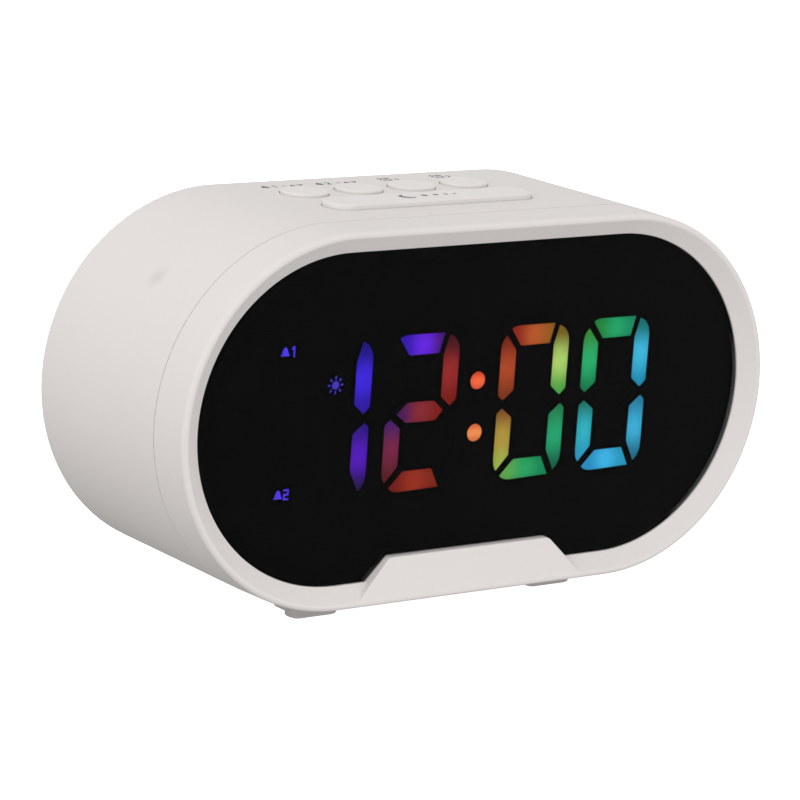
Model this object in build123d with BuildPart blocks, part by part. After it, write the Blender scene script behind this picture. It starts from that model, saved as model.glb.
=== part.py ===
from build123d import *
import math
import os

os.makedirs("parts", exist_ok=True)

# ---------------------------------------------------------------------------
# Digital alarm clock, millimetres. +Z up, the display looks along -Y.
# Origin: middle of the footprint, on the surface that the clock stands on.
# ---------------------------------------------------------------------------

# body
BODY_W = 137.5          # width of the stadium outline
BODY_H = 73.0           # height of the stadium outline
BODY_D = 52.0           # front ridge to rear edge
FOOT_H = 5.0            # underside of the body above the table
ZC = FOOT_H + BODY_H / 2
Y_FRONT = -BODY_D / 2
Y_REAR = BODY_D / 2
Z_TOP = FOOT_H + BODY_H
WALL = 2.2

# front bezel
SEAM_Y = Y_FRONT + 9.6          # where bezel and housing meet
SEAM_GAP = 0.2
NOSE_W, NOSE_H = 136.8, 72.7          # the bezel is drawn in slightly towards its front
BEZEL_ROUND = 0.8
FUNNEL_W, FUNNEL_H = 134.5, 70.4      # front edge of the sloping inner face
FUNNEL_D = 2.4
POCKET_W, POCKET_H = 127.8, 64.2      # pocket that the window and the black mask are glued into
WINDOW_W, WINDOW_H = 127.6, 64.0
WINDOW_Y0, WINDOW_Y1 = Y_FRONT + 2.65, Y_FRONT + 4.0
MASK_Y0, MASK_Y1 = WINDOW_Y1 + 0.05, WINDOW_Y1 + 0.55
LEDGE_W, LEDGE_H = 121.5, 58.9
LEDGE_Y0 = MASK_Y1 + 0.05
LEDGE_Y1 = LEDGE_Y0 + 1.4
TONGUE_W, TONGUE_H = BODY_W - 2 * WALL - 0.2, BODY_H - 2 * WALL - 0.2
CAVITY_W, CAVITY_H = 130.5, 66.0
TONGUE_Y1 = SEAM_Y + 2.0
POST_XZ = [(-46, -26), (-46, 26), (46, -26), (46, 26)]

# trapezoid lip at the bottom of the bezel (half widths and heights from ZC)
LIP_X = -0.9
LIP_TOP_Z, LIP_LOW_Z = -27.5, -35.9
LIP_TOP_X, LIP_LOW_X = 19.0, 27.3
LIP_BACK = 1.4                  # top of the lip's face behind the ridge

# display stack
RAISED_Y0 = MASK_Y0 + 0.05      # front of the raised lights, just inside the mask's front
BASE_Y1 = LEDGE_Y0 + 0.8
BOARD_Y0, BOARD_T = -13.5, 1.6
GLYPH_GAP = 0.06
K = 0.9733                      # digit drawing units to millimetres
DIGIT_X = [-34.05 * K, -13.5 * K, 13.5 * K, 34.05 * K]
DOT_R = 1.75 * K
DOT_Z = [5.1 * K, -5.5 * K]

SEGMENTS = {
    "top": [(-5.74, 14.91), (-5.0, 15.3), (-4.14, 15.46), (4.84, 15.39), (3.74, 11.40), (-3.34, 11.38)],
    "upper_left": [(-6.91, 13.65), (-4.47, 10.53), (-4.53, 2.42), (-7.06, 0.54), (-8.26, 1.62), (-8.19, 11.18), (-7.82, 12.55)],
    "upper_right": [(6.10, 14.94), (7.45, 14.25), (8.30, 13.0), (8.59, 11.67), (8.46, 1.87), (7.04, 0.62), (4.76, 2.59), (4.84, 10.95)],
    "middle": [(-5.57, -0.19), (-3.20, 1.90), (3.11, 1.86), (5.37, -0.22), (3.62, -2.12), (-3.34, -2.08)],
    "lower_left": [(-7.07, -1.19), (-4.66, -3.12), (-4.76, -10.80), (-7.66, -13.81), (-8.24, -12.75), (-8.40, -11.46), (-8.33, -2.19)],
    "lower_right": [(7.39, -1.23), (8.39, -2.11), (8.34, -11.25), (8.18, -12.75), (7.60, -14.0), (6.67, -14.86), (4.61, -10.53), (4.73, -3.30)],
    "bottom": [(-6.60, -14.98), (-3.47, -11.86), (3.44, -11.85), (5.27, -15.68), (-4.48, -15.93), (-5.7, -15.65)],
}
ALL_SEGMENTS = list(SEGMENTS)
RIGHT_SEGMENTS = ["upper_right", "lower_right"]     # the hour's tens place only ever shows a 1
DIGIT_SEGMENTS = [RIGHT_SEGMENTS, ALL_SEGMENTS, ALL_SEGMENTS, ALL_SEGMENTS]

# small indicator lights: middle of each drawing, x and height from ZC
ALARM_ONE_XZ = (-43.9, 13.8)
ALARM_TWO_XZ = (-43.9, -13.5)
MORNING_XZ = (-33.0, 6.65)

# housing
HOUSING_Y0 = SEAM_Y + SEAM_GAP
MOUTH_Y = Y_REAR - 2.6
MOUTH_W, MOUTH_H = 134.5, 70.0
BOSS_XZ = [(-46, -28.9), (-46, 28.9), (46, -28.9), (46, 28.9)]
FOOT_XY = [(-28.3, -9.2), (28.3, -9.2), (-25.5, 12.0), (25.5, 12.0)]
FOOT_W, FOOT_D, FOOT_R, FOOT_Z0 = 11.2, 8.2, 2.4, 1.3
TOE_XY = [(-28.2, -11.0), (28.2, -11.0), (-25.5, 13.8), (25.5, 13.8)]
TOE_W, TOE_D, TOE_R = 10.7, 4.5, 1.9
PAD_PROUD, PAD_T = 0.2, 0.8

# controls on top
BUTTON_Y, BUTTON_D, BUTTON_GAP = 11.3, 9.5, 0.2
BUTTON_PROUD, BUTTON_TRAVEL = 0.65, 0.6
BUTTON_X = {
    "alarm_one_set_button": -19.87,
    "alarm_two_set_button": -7.13,
    "alarm_one_button": 5.58,
    "alarm_two_button": 18.32,
}
SNOOZE_X, SNOOZE_Y, SNOOZE_W, SNOOZE_D, SNOOZE_R = -0.3, -2.8, 47.3, 8.8, 3.8
SNOOZE_PROUD, SNOOZE_TRAVEL = 1.05, 1.0
TOP_BOARD_Z = 67.0
SWITCH_TOP_Z = TOP_BOARD_Z + 4.4
TOP_POST_XY = [(-28.5, -6.0), (-28.5, 13.0), (28.5, -6.0), (28.5, 13.0)]

# rear
COVER_W, COVER_H = 134.1, 69.6
COVER_Y0, COVER_Y1 = MOUTH_Y, Y_REAR - 0.4
REAR_BUTTON_D, REAR_BUTTON_TRAVEL = 7.0, 0.5
REAR_BUTTON_Z = 17.0
REAR_BUTTON_X = {"minus_button": 12.0, "clock_set_button": 0.0, "plus_button": -12.0}
SLIDER_Z = 4.0
SLIDER_X = {"dimmer_slider": 11.0, "volume_slider": -11.0}
SLIDER_TRAVEL = 5.0
INLET_Z = -15.5
BAY_X = -42.0
DOOR_S = 24.8
SPEAKER_X = 42.0
REAR_BOARD_Y0 = 14.0
REAR_BOARD_Y1 = REAR_BOARD_Y0 + 1.6
REAR_POST_XZ = [(-20, 19), (20, 19), (-20, -23), (20, -23)]

# self-tapping screws
PILOT_D, SHANK_D, HEAD_D, CLEAR_D = 2.5, 2.4, 4.6, 2.8


def face_at(y):
    """Plane across the clock at depth y, x to the right, height from the body's middle, facing the front."""
    return Plane(origin=(0, y, ZC), x_dir=(1, 0, 0), z_dir=(0, -1, 0))


def segment_points(name, cx):
    return [(cx + x * K, z * K) for x, z in SEGMENTS[name]]


def bell_points(cx, cz):
    """Outline of a small alarm bell, 1.9 wide and 1.75 high."""
    half = [(0.0, 0.98), (0.22, 0.9), (0.28, 0.74), (0.5, 0.55), (0.62, 0.2), (0.66, -0.2), (0.95, -0.52), (0.95, -0.72)]
    right = [(cx + x, cz + z) for x, z in half]
    left = [(cx - x, cz + z) for x, z in reversed(half[1:])]
    return right + left


def numeral_points(which, cx, cz):
    """Plain numeral one or two, 2.1 high."""
    if which == 1:
        pts = [(-0.42, 0.62), (0.02, 1.05), (0.38, 1.05), (0.38, -1.05), (0.02, -1.05), (0.02, 0.55), (-0.2, 0.38)]
    else:
        pts = [(-0.6, 1.05), (0.6, 1.05), (0.6, -0.17), (-0.25, -0.17), (-0.25, -0.7), (0.6, -0.7), (0.6, -1.05),
               (-0.6, -1.05), (-0.6, 0.18), (0.25, 0.18), (0.25, 0.7), (-0.6, 0.7)]
    return [(cx + x, cz + z) for x, z in pts]


# ---------------------------------------------------------------------------
# Front bezel: rounded outside, sloping inner face, glued-window pocket and ledge,
# a tongue that enters the housing, four screw posts, and the lip at the bottom.
# ---------------------------------------------------------------------------
with BuildPart() as lip:
    with BuildSketch(Plane.YZ):
        with BuildLine():
            Polyline(
                (Y_FRONT + 0.05, ZC + LIP_LOW_Z), (Y_FRONT + LIP_BACK, ZC + LIP_TOP_Z),
                (LEDGE_Y0, ZC + LIP_TOP_Z), (LEDGE_Y0, ZC + LIP_LOW_Z), close=True,
            )
        make_face()
    extrude(amount=30, both=True)
    with BuildSketch(face_at(LEDGE_Y0)):
        with BuildLine():
            Polyline(
                (LIP_X - LIP_TOP_X, LIP_TOP_Z), (LIP_X + LIP_TOP_X, LIP_TOP_Z),
                (LIP_X + LIP_LOW_X, LIP_LOW_Z), (LIP_X - LIP_LOW_X, LIP_LOW_Z), close=True,
            )
        make_face()
    extrude(amount=8, mode=Mode.INTERSECT)
    corner_edges = [e for e in lip.edges() if abs(e.tangent_at(0.5).Y) > 0.9 and e.center().Z > ZC + LIP_TOP_Z - 0.5]
    fillet(corner_edges, radius=2.0)
    face_edges = lip.faces().sort_by(Axis.Y)[0].edges()
    fillet(face_edges.sort_by(Axis.Z)[1:], radius=0.35)

with BuildPart() as front_bezel:
    with BuildSketch(face_at(SEAM_Y)):
        SlotOverall(BODY_W, BODY_H)
    with BuildSketch(face_at(Y_FRONT)):
        SlotOverall(NOSE_W, NOSE_H)
    loft()
    fillet(front_bezel.edges().group_by(Axis.Y)[0], radius=BEZEL_ROUND)
    with BuildSketch(face_at(Y_FRONT)):
        SlotOverall(FUNNEL_W, FUNNEL_H)
    with BuildSketch(face_at(Y_FRONT + FUNNEL_D)):
        SlotOverall(POCKET_W, POCKET_H)
    loft(mode=Mode.SUBTRACT)
    ridge = front_bezel.faces().filter_by(Axis.Y).sort_by(Axis.Y)[0]
    fillet(ridge.inner_wires()[0].edges(), radius=0.6)
    with BuildSketch(face_at(LEDGE_Y0)):
        SlotOverall(POCKET_W, POCKET_H)
    extrude(amount=LEDGE_Y0 - Y_FRONT - FUNNEL_D, mode=Mode.SUBTRACT)
    with BuildSketch(face_at(SEAM_Y)):
        SlotOverall(LEDGE_W, LEDGE_H)
    extrude(amount=SEAM_Y - LEDGE_Y0, mode=Mode.SUBTRACT)
    with BuildSketch(face_at(SEAM_Y)):
        SlotOverall(CAVITY_W, CAVITY_H)
    extrude(amount=SEAM_Y - LEDGE_Y1, mode=Mode.SUBTRACT)
    with BuildSketch(face_at(TONGUE_Y1)):
        SlotOverall(TONGUE_W, TONGUE_H)
        SlotOverall(CAVITY_W, CAVITY_H, mode=Mode.SUBTRACT)
    extrude(amount=TONGUE_Y1 - SEAM_Y + 0.4)
    with BuildSketch(face_at(BOARD_Y0)):
        with Locations(*POST_XZ):
            Circle(2.8)
    extrude(amount=BOARD_Y0 - LEDGE_Y1)
    with BuildSketch(face_at(BOARD_Y0)):
        with Locations(*POST_XZ):
            Circle(PILOT_D / 2)
    extrude(amount=6.2, mode=Mode.SUBTRACT)
    add(lip.part)

# Window: smoked sheet with a notch around the lip.
with BuildPart() as display_window:
    with BuildSketch(face_at(WINDOW_Y1)):
        SlotOverall(WINDOW_W, WINDOW_H)
        with BuildLine():
            Polyline(
                (LIP_X - LIP_TOP_X - 0.1, LIP_TOP_Z + 0.2), (LIP_X + LIP_TOP_X + 0.1, LIP_TOP_Z + 0.2),
                (LIP_X + LIP_LOW_X + 0.25, LIP_LOW_Z), (LIP_X - LIP_LOW_X - 0.25, LIP_LOW_Z), close=True,
            )
        make_face(mode=Mode.SUBTRACT)
    extrude(amount=WINDOW_Y1 - WINDOW_Y0)
    chamfer(display_window.faces().sort_by(Axis.Y)[0].edges(), length=0.06)

# ---------------------------------------------------------------------------
# Display stack: black mask, diffusers with raised segments, reflector, board.
# ---------------------------------------------------------------------------
with BuildPart() as segment_mask:
    with BuildSketch(face_at(MASK_Y1)):
        SlotOverall(WINDOW_W, WINDOW_H)
        with BuildLine():
            Polyline(
                (LIP_X - LIP_TOP_X - 0.1, LIP_TOP_Z + 0.2), (LIP_X + LIP_TOP_X + 0.1, LIP_TOP_Z + 0.2),
                (LIP_X + LIP_LOW_X + 0.25, LIP_LOW_Z), (LIP_X - LIP_LOW_X - 0.25, LIP_LOW_Z), close=True,
            )
        make_face(mode=Mode.SUBTRACT)
    extrude(amount=MASK_Y1 - MASK_Y0)
    with BuildSketch(face_at(MASK_Y1)):
        for cx, names in zip(DIGIT_X, DIGIT_SEGMENTS):
            for name in names:
                with BuildLine():
                    Polyline(*segment_points(name, cx), close=True)
                make_face()
        with Locations(*[(0, z) for z in DOT_Z]):
            Circle(DOT_R)
        for which, (cx, cz) in ((1, ALARM_ONE_XZ), (2, ALARM_TWO_XZ)):
            with BuildLine():
                Polyline(*bell_points(cx - 0.75, cz), close=True)
            make_face()
            with BuildLine():
                Polyline(*numeral_points(which, cx + 1.05, cz), close=True)
            make_face()
        with Locations(MORNING_XZ):
            Circle(0.8)
            with PolarLocations(1.45, 8):
                Rectangle(0.62, 0.34)
        offset(amount=GLYPH_GAP, kind=Kind.INTERSECTION)
    extrude(amount=MASK_Y1 - MASK_Y0, mode=Mode.SUBTRACT)

digit_labels = ["hour_tens_diffuser", "hour_ones_diffuser", "minute_tens_diffuser", "minute_ones_diffuser"]
digit_diffusers = {}
for label, cx, names in zip(digit_labels, DIGIT_X, DIGIT_SEGMENTS):
    base_x = cx + 6.4 if len(names) == 2 else cx
    base_w = 5.8 if len(names) == 2 else 17.4
    with BuildPart() as digit_diffuser:
        with BuildSketch(face_at(BASE_Y1)):
            with Locations((base_x, -0.2)):
                Rectangle(base_w, 32.4)
        extrude(amount=BASE_Y1 - LEDGE_Y0)
        with BuildSketch(face_at(LEDGE_Y0)):
            for name in names:
                with BuildLine():
                    Polyline(*segment_points(name, cx), close=True)
                make_face()
        extrude(amount=LEDGE_Y0 - RAISED_Y0)
    digit_diffusers[label] = digit_diffuser

with BuildPart() as colon_diffuser:
    with BuildSketch(face_at(BASE_Y1)):
        Rectangle(5.0, 17.0)
    extrude(amount=BASE_Y1 - LEDGE_Y0)
    with BuildSketch(face_at(LEDGE_Y0)):
        with Locations(*[(0, z) for z in DOT_Z]):
            Circle(DOT_R)
    extrude(amount=LEDGE_Y0 - RAISED_Y0)

alarm_indicators = {}
for label, which, (cx, cz) in (("alarm_one_indicator", 1, ALARM_ONE_XZ), ("alarm_two_indicator", 2, ALARM_TWO_XZ)):
    with BuildPart() as alarm_indicator:
        with BuildSketch(face_at(BASE_Y1)):
            with Locations((cx - 1.0, cz)):
                RectangleRounded(5.2, 4.0, 0.5)
        extrude(amount=BASE_Y1 - LEDGE_Y0)
        with BuildSketch(face_at(LEDGE_Y0)):
            with BuildLine():
                Polyline(*bell_points(cx - 0.75, cz), close=True)
            make_face()
            with BuildLine():
                Polyline(*numeral_points(which, cx + 1.05, cz), close=True)
            make_face()
        extrude(amount=LEDGE_Y0 - RAISED_Y0)
    alarm_indicators[label] = alarm_indicator

with BuildPart() as morning_indicator:
    with BuildSketch(face_at(BASE_Y1)):
        with Locations(MORNING_XZ):
            RectangleRounded(4.0, 4.0, 0.5)
    extrude(amount=BASE_Y1 - LEDGE_Y0)
    with BuildSketch(face_at(LEDGE_Y0)):
        with Locations(MORNING_XZ):
            Circle(0.8)
            with PolarLocations(1.45, 8):
                Rectangle(0.62, 0.34)
    extrude(amount=LEDGE_Y0 - RAISED_Y0)

# Reflector: one deep well behind every light.
with BuildPart() as reflector_block:
    with BuildSketch(face_at(BOARD_Y0)):
        with Locations((-2.5, -0.2)):
            RectangleRounded(95.0, 37.0, 1.5)
    extrude(amount=BOARD_Y0 - BASE_Y1)
    with BuildSketch(face_at(BOARD_Y0)):
        for cx, names in zip(DIGIT_X, DIGIT_SEGMENTS):
            for name in names:
                with BuildLine():
                    Polyline(*segment_points(name, cx), close=True)
                make_face()
        with Locations(*[(0, z) for z in DOT_Z]):
            Circle(DOT_R)
        with Locations((ALARM_ONE_XZ[0] - 0.2, ALARM_ONE_XZ[1]), (ALARM_TWO_XZ[0] - 0.2, ALARM_TWO_XZ[1])):
            RectangleRounded(3.8, 2.6, 0.4)
        with Locations(MORNING_XZ):
            RectangleRounded(2.8, 2.8, 0.4)
    extrude(amount=BOARD_Y0 - BASE_Y1, mode=Mode.SUBTRACT)

led_xz = []
for cx, names in zip(DIGIT_X, DIGIT_SEGMENTS):
    for name in names:
        pts = segment_points(name, cx)
        led_xz.append((sum(p[0] for p in pts) / len(pts), sum(p[1] for p in pts) / len(pts)))
led_xz += [(0, z) for z in DOT_Z] + [ALARM_ONE_XZ, ALARM_TWO_XZ, MORNING_XZ]

# Display board, with its light-emitting chips and small soldered parts.
with BuildPart() as display_board:
    with BuildSketch(face_at(BOARD_Y0 + BOARD_T)):
        SlotOverall(128.5, 64.0)
        with Locations(*POST_XZ):
            Circle(CLEAR_D / 2, mode=Mode.SUBTRACT)
    extrude(amount=BOARD_T)
    with BuildSketch(face_at(BOARD_Y0)):
        with Locations(*led_xz):
            Rectangle(1.2, 1.4)
    extrude(amount=0.9)
    with BuildSketch(face_at(BOARD_Y0 + BOARD_T + 0.7)):
        with Locations(*[(x, z) for x in (-40, -34, -28, 28, 34, 40) for z in (-12, -6, 6, 12)]):
            Rectangle(2.0, 1.2)
    extrude(amount=0.7)

with BuildPart() as clock_chip:
    with BuildSketch(face_at(BOARD_Y0 + BOARD_T + 2.6)):
        with Locations((0, 16)):
            Rectangle(17.8, 7.5)
    extrude(amount=2.3)
    chamfer(clock_chip.faces().sort_by(Axis.Y)[-1].edges(), length=0.4)
    with BuildSketch(face_at(BOARD_Y0 + BOARD_T + 0.3)):
        with Locations((0, 16)):
            with GridLocations(1.27, 9.4, 14, 2):
                Rectangle(0.42, 2.2)
    extrude(amount=0.3)

with BuildPart() as display_screws:
    with BuildSketch(face_at(BOARD_Y0 + BOARD_T)):
        with Locations(*POST_XZ):
            Circle(SHANK_D / 2)
    extrude(amount=7.0)
    with BuildSketch(face_at(BOARD_Y0 + BOARD_T + 1.7)):
        with Locations(*POST_XZ):
            Circle(HEAD_D / 2)
    extrude(amount=1.7)
    with BuildSketch(face_at(BOARD_Y0 + BOARD_T + 1.7)):
        with Locations(*POST_XZ):
            Rectangle(2.6, 0.6)
            Rectangle(0.6, 2.6)
    extrude(amount=1.0, mode=Mode.SUBTRACT)

# ---------------------------------------------------------------------------
# Main housing: stadium tube with button holes, feet, cover bosses and board posts.
# ---------------------------------------------------------------------------
with BuildPart() as main_housing:
    with BuildSketch(face_at(Y_REAR)):
        SlotOverall(BODY_W, BODY_H)
    extrude(amount=Y_REAR - HOUSING_Y0)
    fillet(main_housing.edges().group_by(Axis.Y)[-1], radius=0.9)
    # feet: a block with a lower toe on its outer side
    with BuildSketch(Plane.XY.offset(FOOT_Z0)):
        with Locations(*FOOT_XY):
            RectangleRounded(FOOT_W, FOOT_D, FOOT_R)
    extrude(amount=FOOT_H + 1.2 - FOOT_Z0)
    with BuildSketch(Plane.XY.offset(PAD_PROUD)):
        with Locations(*TOE_XY):
            RectangleRounded(TOE_W, TOE_D, TOE_R)
    extrude(amount=FOOT_Z0 + 0.5 - PAD_PROUD)
    foot_rims = main_housing.faces().filter_by(Axis.Z).group_by(Axis.Z)[0].edges()
    fillet(foot_rims, radius=0.25)
    with BuildSketch(Plane.XY.offset(PAD_PROUD)):
        with Locations(*TOE_XY):
            RectangleRounded(TOE_W - 1.1, TOE_D - 1.1, TOE_R - 0.45)
    extrude(amount=PAD_T - PAD_PROUD, mode=Mode.SUBTRACT)
    with BuildSketch(face_at(MOUTH_Y)):
        SlotOverall(BODY_W - 2 * WALL, BODY_H - 2 * WALL)
    extrude(amount=MOUTH_Y - HOUSING_Y0, mode=Mode.SUBTRACT)
    with BuildSketch(face_at(Y_REAR)):
        SlotOverall(MOUTH_W, MOUTH_H)
    extrude(amount=Y_REAR - MOUTH_Y, mode=Mode.SUBTRACT)
    # bosses for the rear cover's screws
    with BuildSketch(face_at(MOUTH_Y)):
        with Locations(*BOSS_XZ):
            Circle(3.0)
    extrude(amount=MOUTH_Y - 14.0)
    with BuildSketch(face_at(MOUTH_Y)):
        with Locations(*BOSS_XZ):
            Circle(PILOT_D / 2)
    extrude(amount=8.0, mode=Mode.SUBTRACT)
    # posts that the button board hangs from
    with BuildSketch(Plane.XY.offset(TOP_BOARD_Z)):
        with Locations(*TOP_POST_XY):
            Circle(2.5)
    extrude(amount=Z_TOP - WALL + 0.6 - TOP_BOARD_Z)
    with BuildSketch(Plane.XY.offset(TOP_BOARD_Z)):
        with Locations(*TOP_POST_XY):
            Circle(PILOT_D / 2)
    extrude(amount=7.0, mode=Mode.SUBTRACT)
    # holes for the top controls
    with BuildSketch(Plane.XY.offset(Z_TOP - WALL - 1)):
        with Locations(*[(x, BUTTON_Y) for x in BUTTON_X.values()]):
            Circle(BUTTON_D / 2 + BUTTON_GAP)
        with Locations((SNOOZE_X, SNOOZE_Y)):
            RectangleRounded(SNOOZE_W + 2 * BUTTON_GAP, SNOOZE_D + 2 * BUTTON_GAP, SNOOZE_R + BUTTON_GAP)
    extrude(amount=WALL + 2, mode=Mode.SUBTRACT)

foot_labels = ["front_left_foot_pad", "front_right_foot_pad", "rear_left_foot_pad", "rear_right_foot_pad"]
foot_pads = {}
for label, (x, y) in zip(foot_labels, TOE_XY):
    with BuildPart() as foot_pad:
        with BuildSketch(Plane.XY):
            with Locations((x, y)):
                RectangleRounded(TOE_W - 1.2, TOE_D - 1.2, TOE_R - 0.5)
        extrude(amount=PAD_T)
        fillet(foot_pad.faces().sort_by(Axis.Z)[0].edges(), radius=0.12)
    foot_pads[label] = foot_pad

# ---------------------------------------------------------------------------
# Top controls: each has a cap, a flange that keeps it in, and a stem.
# ---------------------------------------------------------------------------
FLANGE_Z1 = Z_TOP - WALL - 0.1
FLANGE_Z0 = FLANGE_Z1 - 1.1

with BuildPart() as snooze_bar:
    with BuildSketch(Plane.XY.offset(FLANGE_Z1)):
        with Locations((SNOOZE_X, SNOOZE_Y)):
            RectangleRounded(SNOOZE_W, SNOOZE_D, SNOOZE_R)
    extrude(amount=Z_TOP + SNOOZE_PROUD - FLANGE_Z1)
    fillet(snooze_bar.faces().sort_by(Axis.Z)[-1].edges(), radius=0.35)
    with BuildSketch(Plane.XY.offset(FLANGE_Z0)):
        with Locations((SNOOZE_X, SNOOZE_Y)):
            RectangleRounded(SNOOZE_W + 2.0, SNOOZE_D + 2.0, SNOOZE_R + 1.0)
    extrude(amount=FLANGE_Z1 - FLANGE_Z0)
    with BuildSketch(Plane.XY.offset(SWITCH_TOP_Z + SNOOZE_TRAVEL + 0.05)):
        with Locations((SNOOZE_X, SNOOZE_Y)):
            Circle(2.0)
            Rectangle(12.0, 1.2)
            Rectangle(1.2, 6.0)
    extrude(until=Until.NEXT)

top_buttons = {}
for label, x in BUTTON_X.items():
    with BuildPart() as top_button:
        with BuildSketch(Plane.XY.offset(FLANGE_Z1)):
            with Locations((x, BUTTON_Y)):
                Circle(BUTTON_D / 2)
        extrude(amount=Z_TOP + BUTTON_PROUD - FLANGE_Z1)
        fillet(top_button.faces().sort_by(Axis.Z)[-1].edges(), radius=0.35)
        with BuildSketch(Plane.XY.offset(FLANGE_Z0)):
            with Locations((x, BUTTON_Y)):
                Circle(BUTTON_D / 2 + 1.0)
        extrude(amount=FLANGE_Z1 - FLANGE_Z0)
        with BuildSketch(Plane.XY.offset(SWITCH_TOP_Z + BUTTON_TRAVEL + 0.05)):
            with Locations((x, BUTTON_Y)):
                Circle(1.5)
        extrude(until=Until.NEXT)
    top_buttons[label] = top_button

with BuildPart() as button_board:
    with BuildSketch(Plane.XY.offset(TOP_BOARD_Z - 1.6)):
        with Locations((0, 3.75)):
            RectangleRounded(64.0, 26.5, 1.5)
        with Locations(*TOP_POST_XY):
            Circle(CLEAR_D / 2, mode=Mode.SUBTRACT)
    extrude(amount=1.6)
    with BuildSketch(Plane.XY.offset(TOP_BOARD_Z)):
        with Locations(*[(x, 4.2) for x in (-20, -12, 12, 20)]):
            Rectangle(2.0, 1.2)
    extrude(amount=0.6)

switch_spots = {
    "snooze_switch": (SNOOZE_X, SNOOZE_Y),
    "alarm_one_set_switch": (BUTTON_X["alarm_one_set_button"], BUTTON_Y),
    "alarm_two_set_switch": (BUTTON_X["alarm_two_set_button"], BUTTON_Y),
    "alarm_one_switch": (BUTTON_X["alarm_one_button"], BUTTON_Y),
    "alarm_two_switch": (BUTTON_X["alarm_two_button"], BUTTON_Y),
}
top_switches = {}
for label, (x, y) in switch_spots.items():
    with BuildPart() as top_switch:
        with BuildSketch(Plane.XY.offset(TOP_BOARD_Z)):
            with Locations((x, y)):
                Rectangle(6.0, 6.0)
        extrude(amount=3.6)
        chamfer(top_switch.edges().filter_by(Axis.Z), length=0.5)
        with BuildSketch(Plane.XY.offset(TOP_BOARD_Z + 3.6)):
            with Locations((x, y)):
                Circle(1.7)
        extrude(amount=0.8)
    top_switches[label] = top_switch

with BuildPart() as button_board_screws:
    with BuildSketch(Plane.XY.offset(TOP_BOARD_Z - 1.6)):
        with Locations(*TOP_POST_XY):
            Circle(SHANK_D / 2)
    extrude(amount=7.6)
    with BuildSketch(Plane.XY.offset(TOP_BOARD_Z - 1.6 - 1.7)):
        with Locations(*TOP_POST_XY):
            Circle(HEAD_D / 2)
    extrude(amount=1.7)
    with BuildSketch(Plane.XY.offset(TOP_BOARD_Z - 1.6 - 1.7)):
        with Locations(*TOP_POST_XY):
            Rectangle(2.6, 0.6)
            Rectangle(0.6, 2.6)
    extrude(amount=1.0, mode=Mode.SUBTRACT)

# ---------------------------------------------------------------------------
# Rear cover: grille, button holes, slider slots, inlet hole, battery bay, vents.
# ---------------------------------------------------------------------------
GRILLE = []
for row in range(-4, 5):
    for col in range(-5, 6):
        gx, gz = 3.4 * (col + 0.5 * (row % 2)), 3.0 * row
        if math.hypot(gx, gz) < 13.6:
            GRILLE.append((SPEAKER_X + gx, gz))

with BuildPart() as rear_cover:
    with BuildSketch(face_at(COVER_Y1)):
        SlotOverall(COVER_W, COVER_H)
    extrude(amount=COVER_Y1 - COVER_Y0)
    chamfer(rear_cover.edges().group_by(Axis.Y)[-1], length=0.4)
    # battery bay, a square cup behind the plate
    with BuildSketch(face_at(COVER_Y0)):
        with Locations((BAY_X, 0)):
            RectangleRounded(29.0, 29.0, 2.0)
    extrude(amount=4.9)
    # ring that locates the loudspeaker, and board posts
    with BuildSketch(face_at(COVER_Y0)):
        with Locations((SPEAKER_X, 0)):
            Circle(21.6)
            Circle(20.2, mode=Mode.SUBTRACT)
    extrude(amount=3.0)
    with BuildSketch(face_at(COVER_Y0)):
        with Locations(*REAR_POST_XZ):
            Circle(2.5)
    extrude(amount=COVER_Y0 - REAR_BOARD_Y1)
    with BuildSketch(face_at(REAR_BOARD_Y1 + 5.6)):
        with Locations(*REAR_POST_XZ):
            Circle(PILOT_D / 2)
    extrude(amount=5.6, mode=Mode.SUBTRACT)
    # cut-outs
    with BuildSketch(face_at(COVER_Y1)):
        with Locations(*BOSS_XZ):
            Circle(2.55)
    extrude(amount=1.2, mode=Mode.SUBTRACT)
    with BuildSketch(face_at(COVER_Y1)):
        with Locations(*BOSS_XZ):
            Circle(CLEAR_D / 2)
        with Locations(*GRILLE):
            Circle(0.95)
        with Locations(*[(x, REAR_BUTTON_Z) for x in REAR_BUTTON_X.values()]):
            Circle(REAR_BUTTON_D / 2 + 0.15)
        with Locations(*[(x, SLIDER_Z) for x in SLIDER_X.values()]):
            RectangleRounded(9.0, 3.4, 0.5)
        with Locations((0, INLET_Z)):
            Circle(4.15)
        with Locations(*[(3.2 * n, -27.5) for n in range(-3, 4)]):
            SlotOverall(6.0, 1.5, rotation=90)
    extrude(amount=COVER_Y1 - COVER_Y0, mode=Mode.SUBTRACT)
    with BuildSketch(face_at(COVER_Y1)):
        with Locations((BAY_X, 0)):
            RectangleRounded(DOOR_S + 0.4, DOOR_S + 0.4, 1.4)
        with Locations((BAY_X, DOOR_S / 2)):
            Rectangle(9.0, 3.6)
    extrude(amount=1.5, mode=Mode.SUBTRACT)
    with BuildSketch(face_at(COVER_Y1 - 1.5)):
        with Locations((BAY_X, 0)):
            Circle(10.4)
            Rectangle(7.0, 22.6)
    extrude(amount=4.2, mode=Mode.SUBTRACT)
    # shallow round recess around each rear button
    with BuildSketch(face_at(COVER_Y1)):
        with Locations(*[(x, REAR_BUTTON_Z) for x in REAR_BUTTON_X.values()]):
            Circle(REAR_BUTTON_D / 2 + 0.9)
        with Locations(*[(x, SLIDER_Z) for x in SLIDER_X.values()]):
            RectangleRounded(11.0, 5.2, 1.0)
        with Locations((0, INLET_Z)):
            Circle(5.4)
    extrude(amount=0.4, mode=Mode.SUBTRACT)

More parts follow.
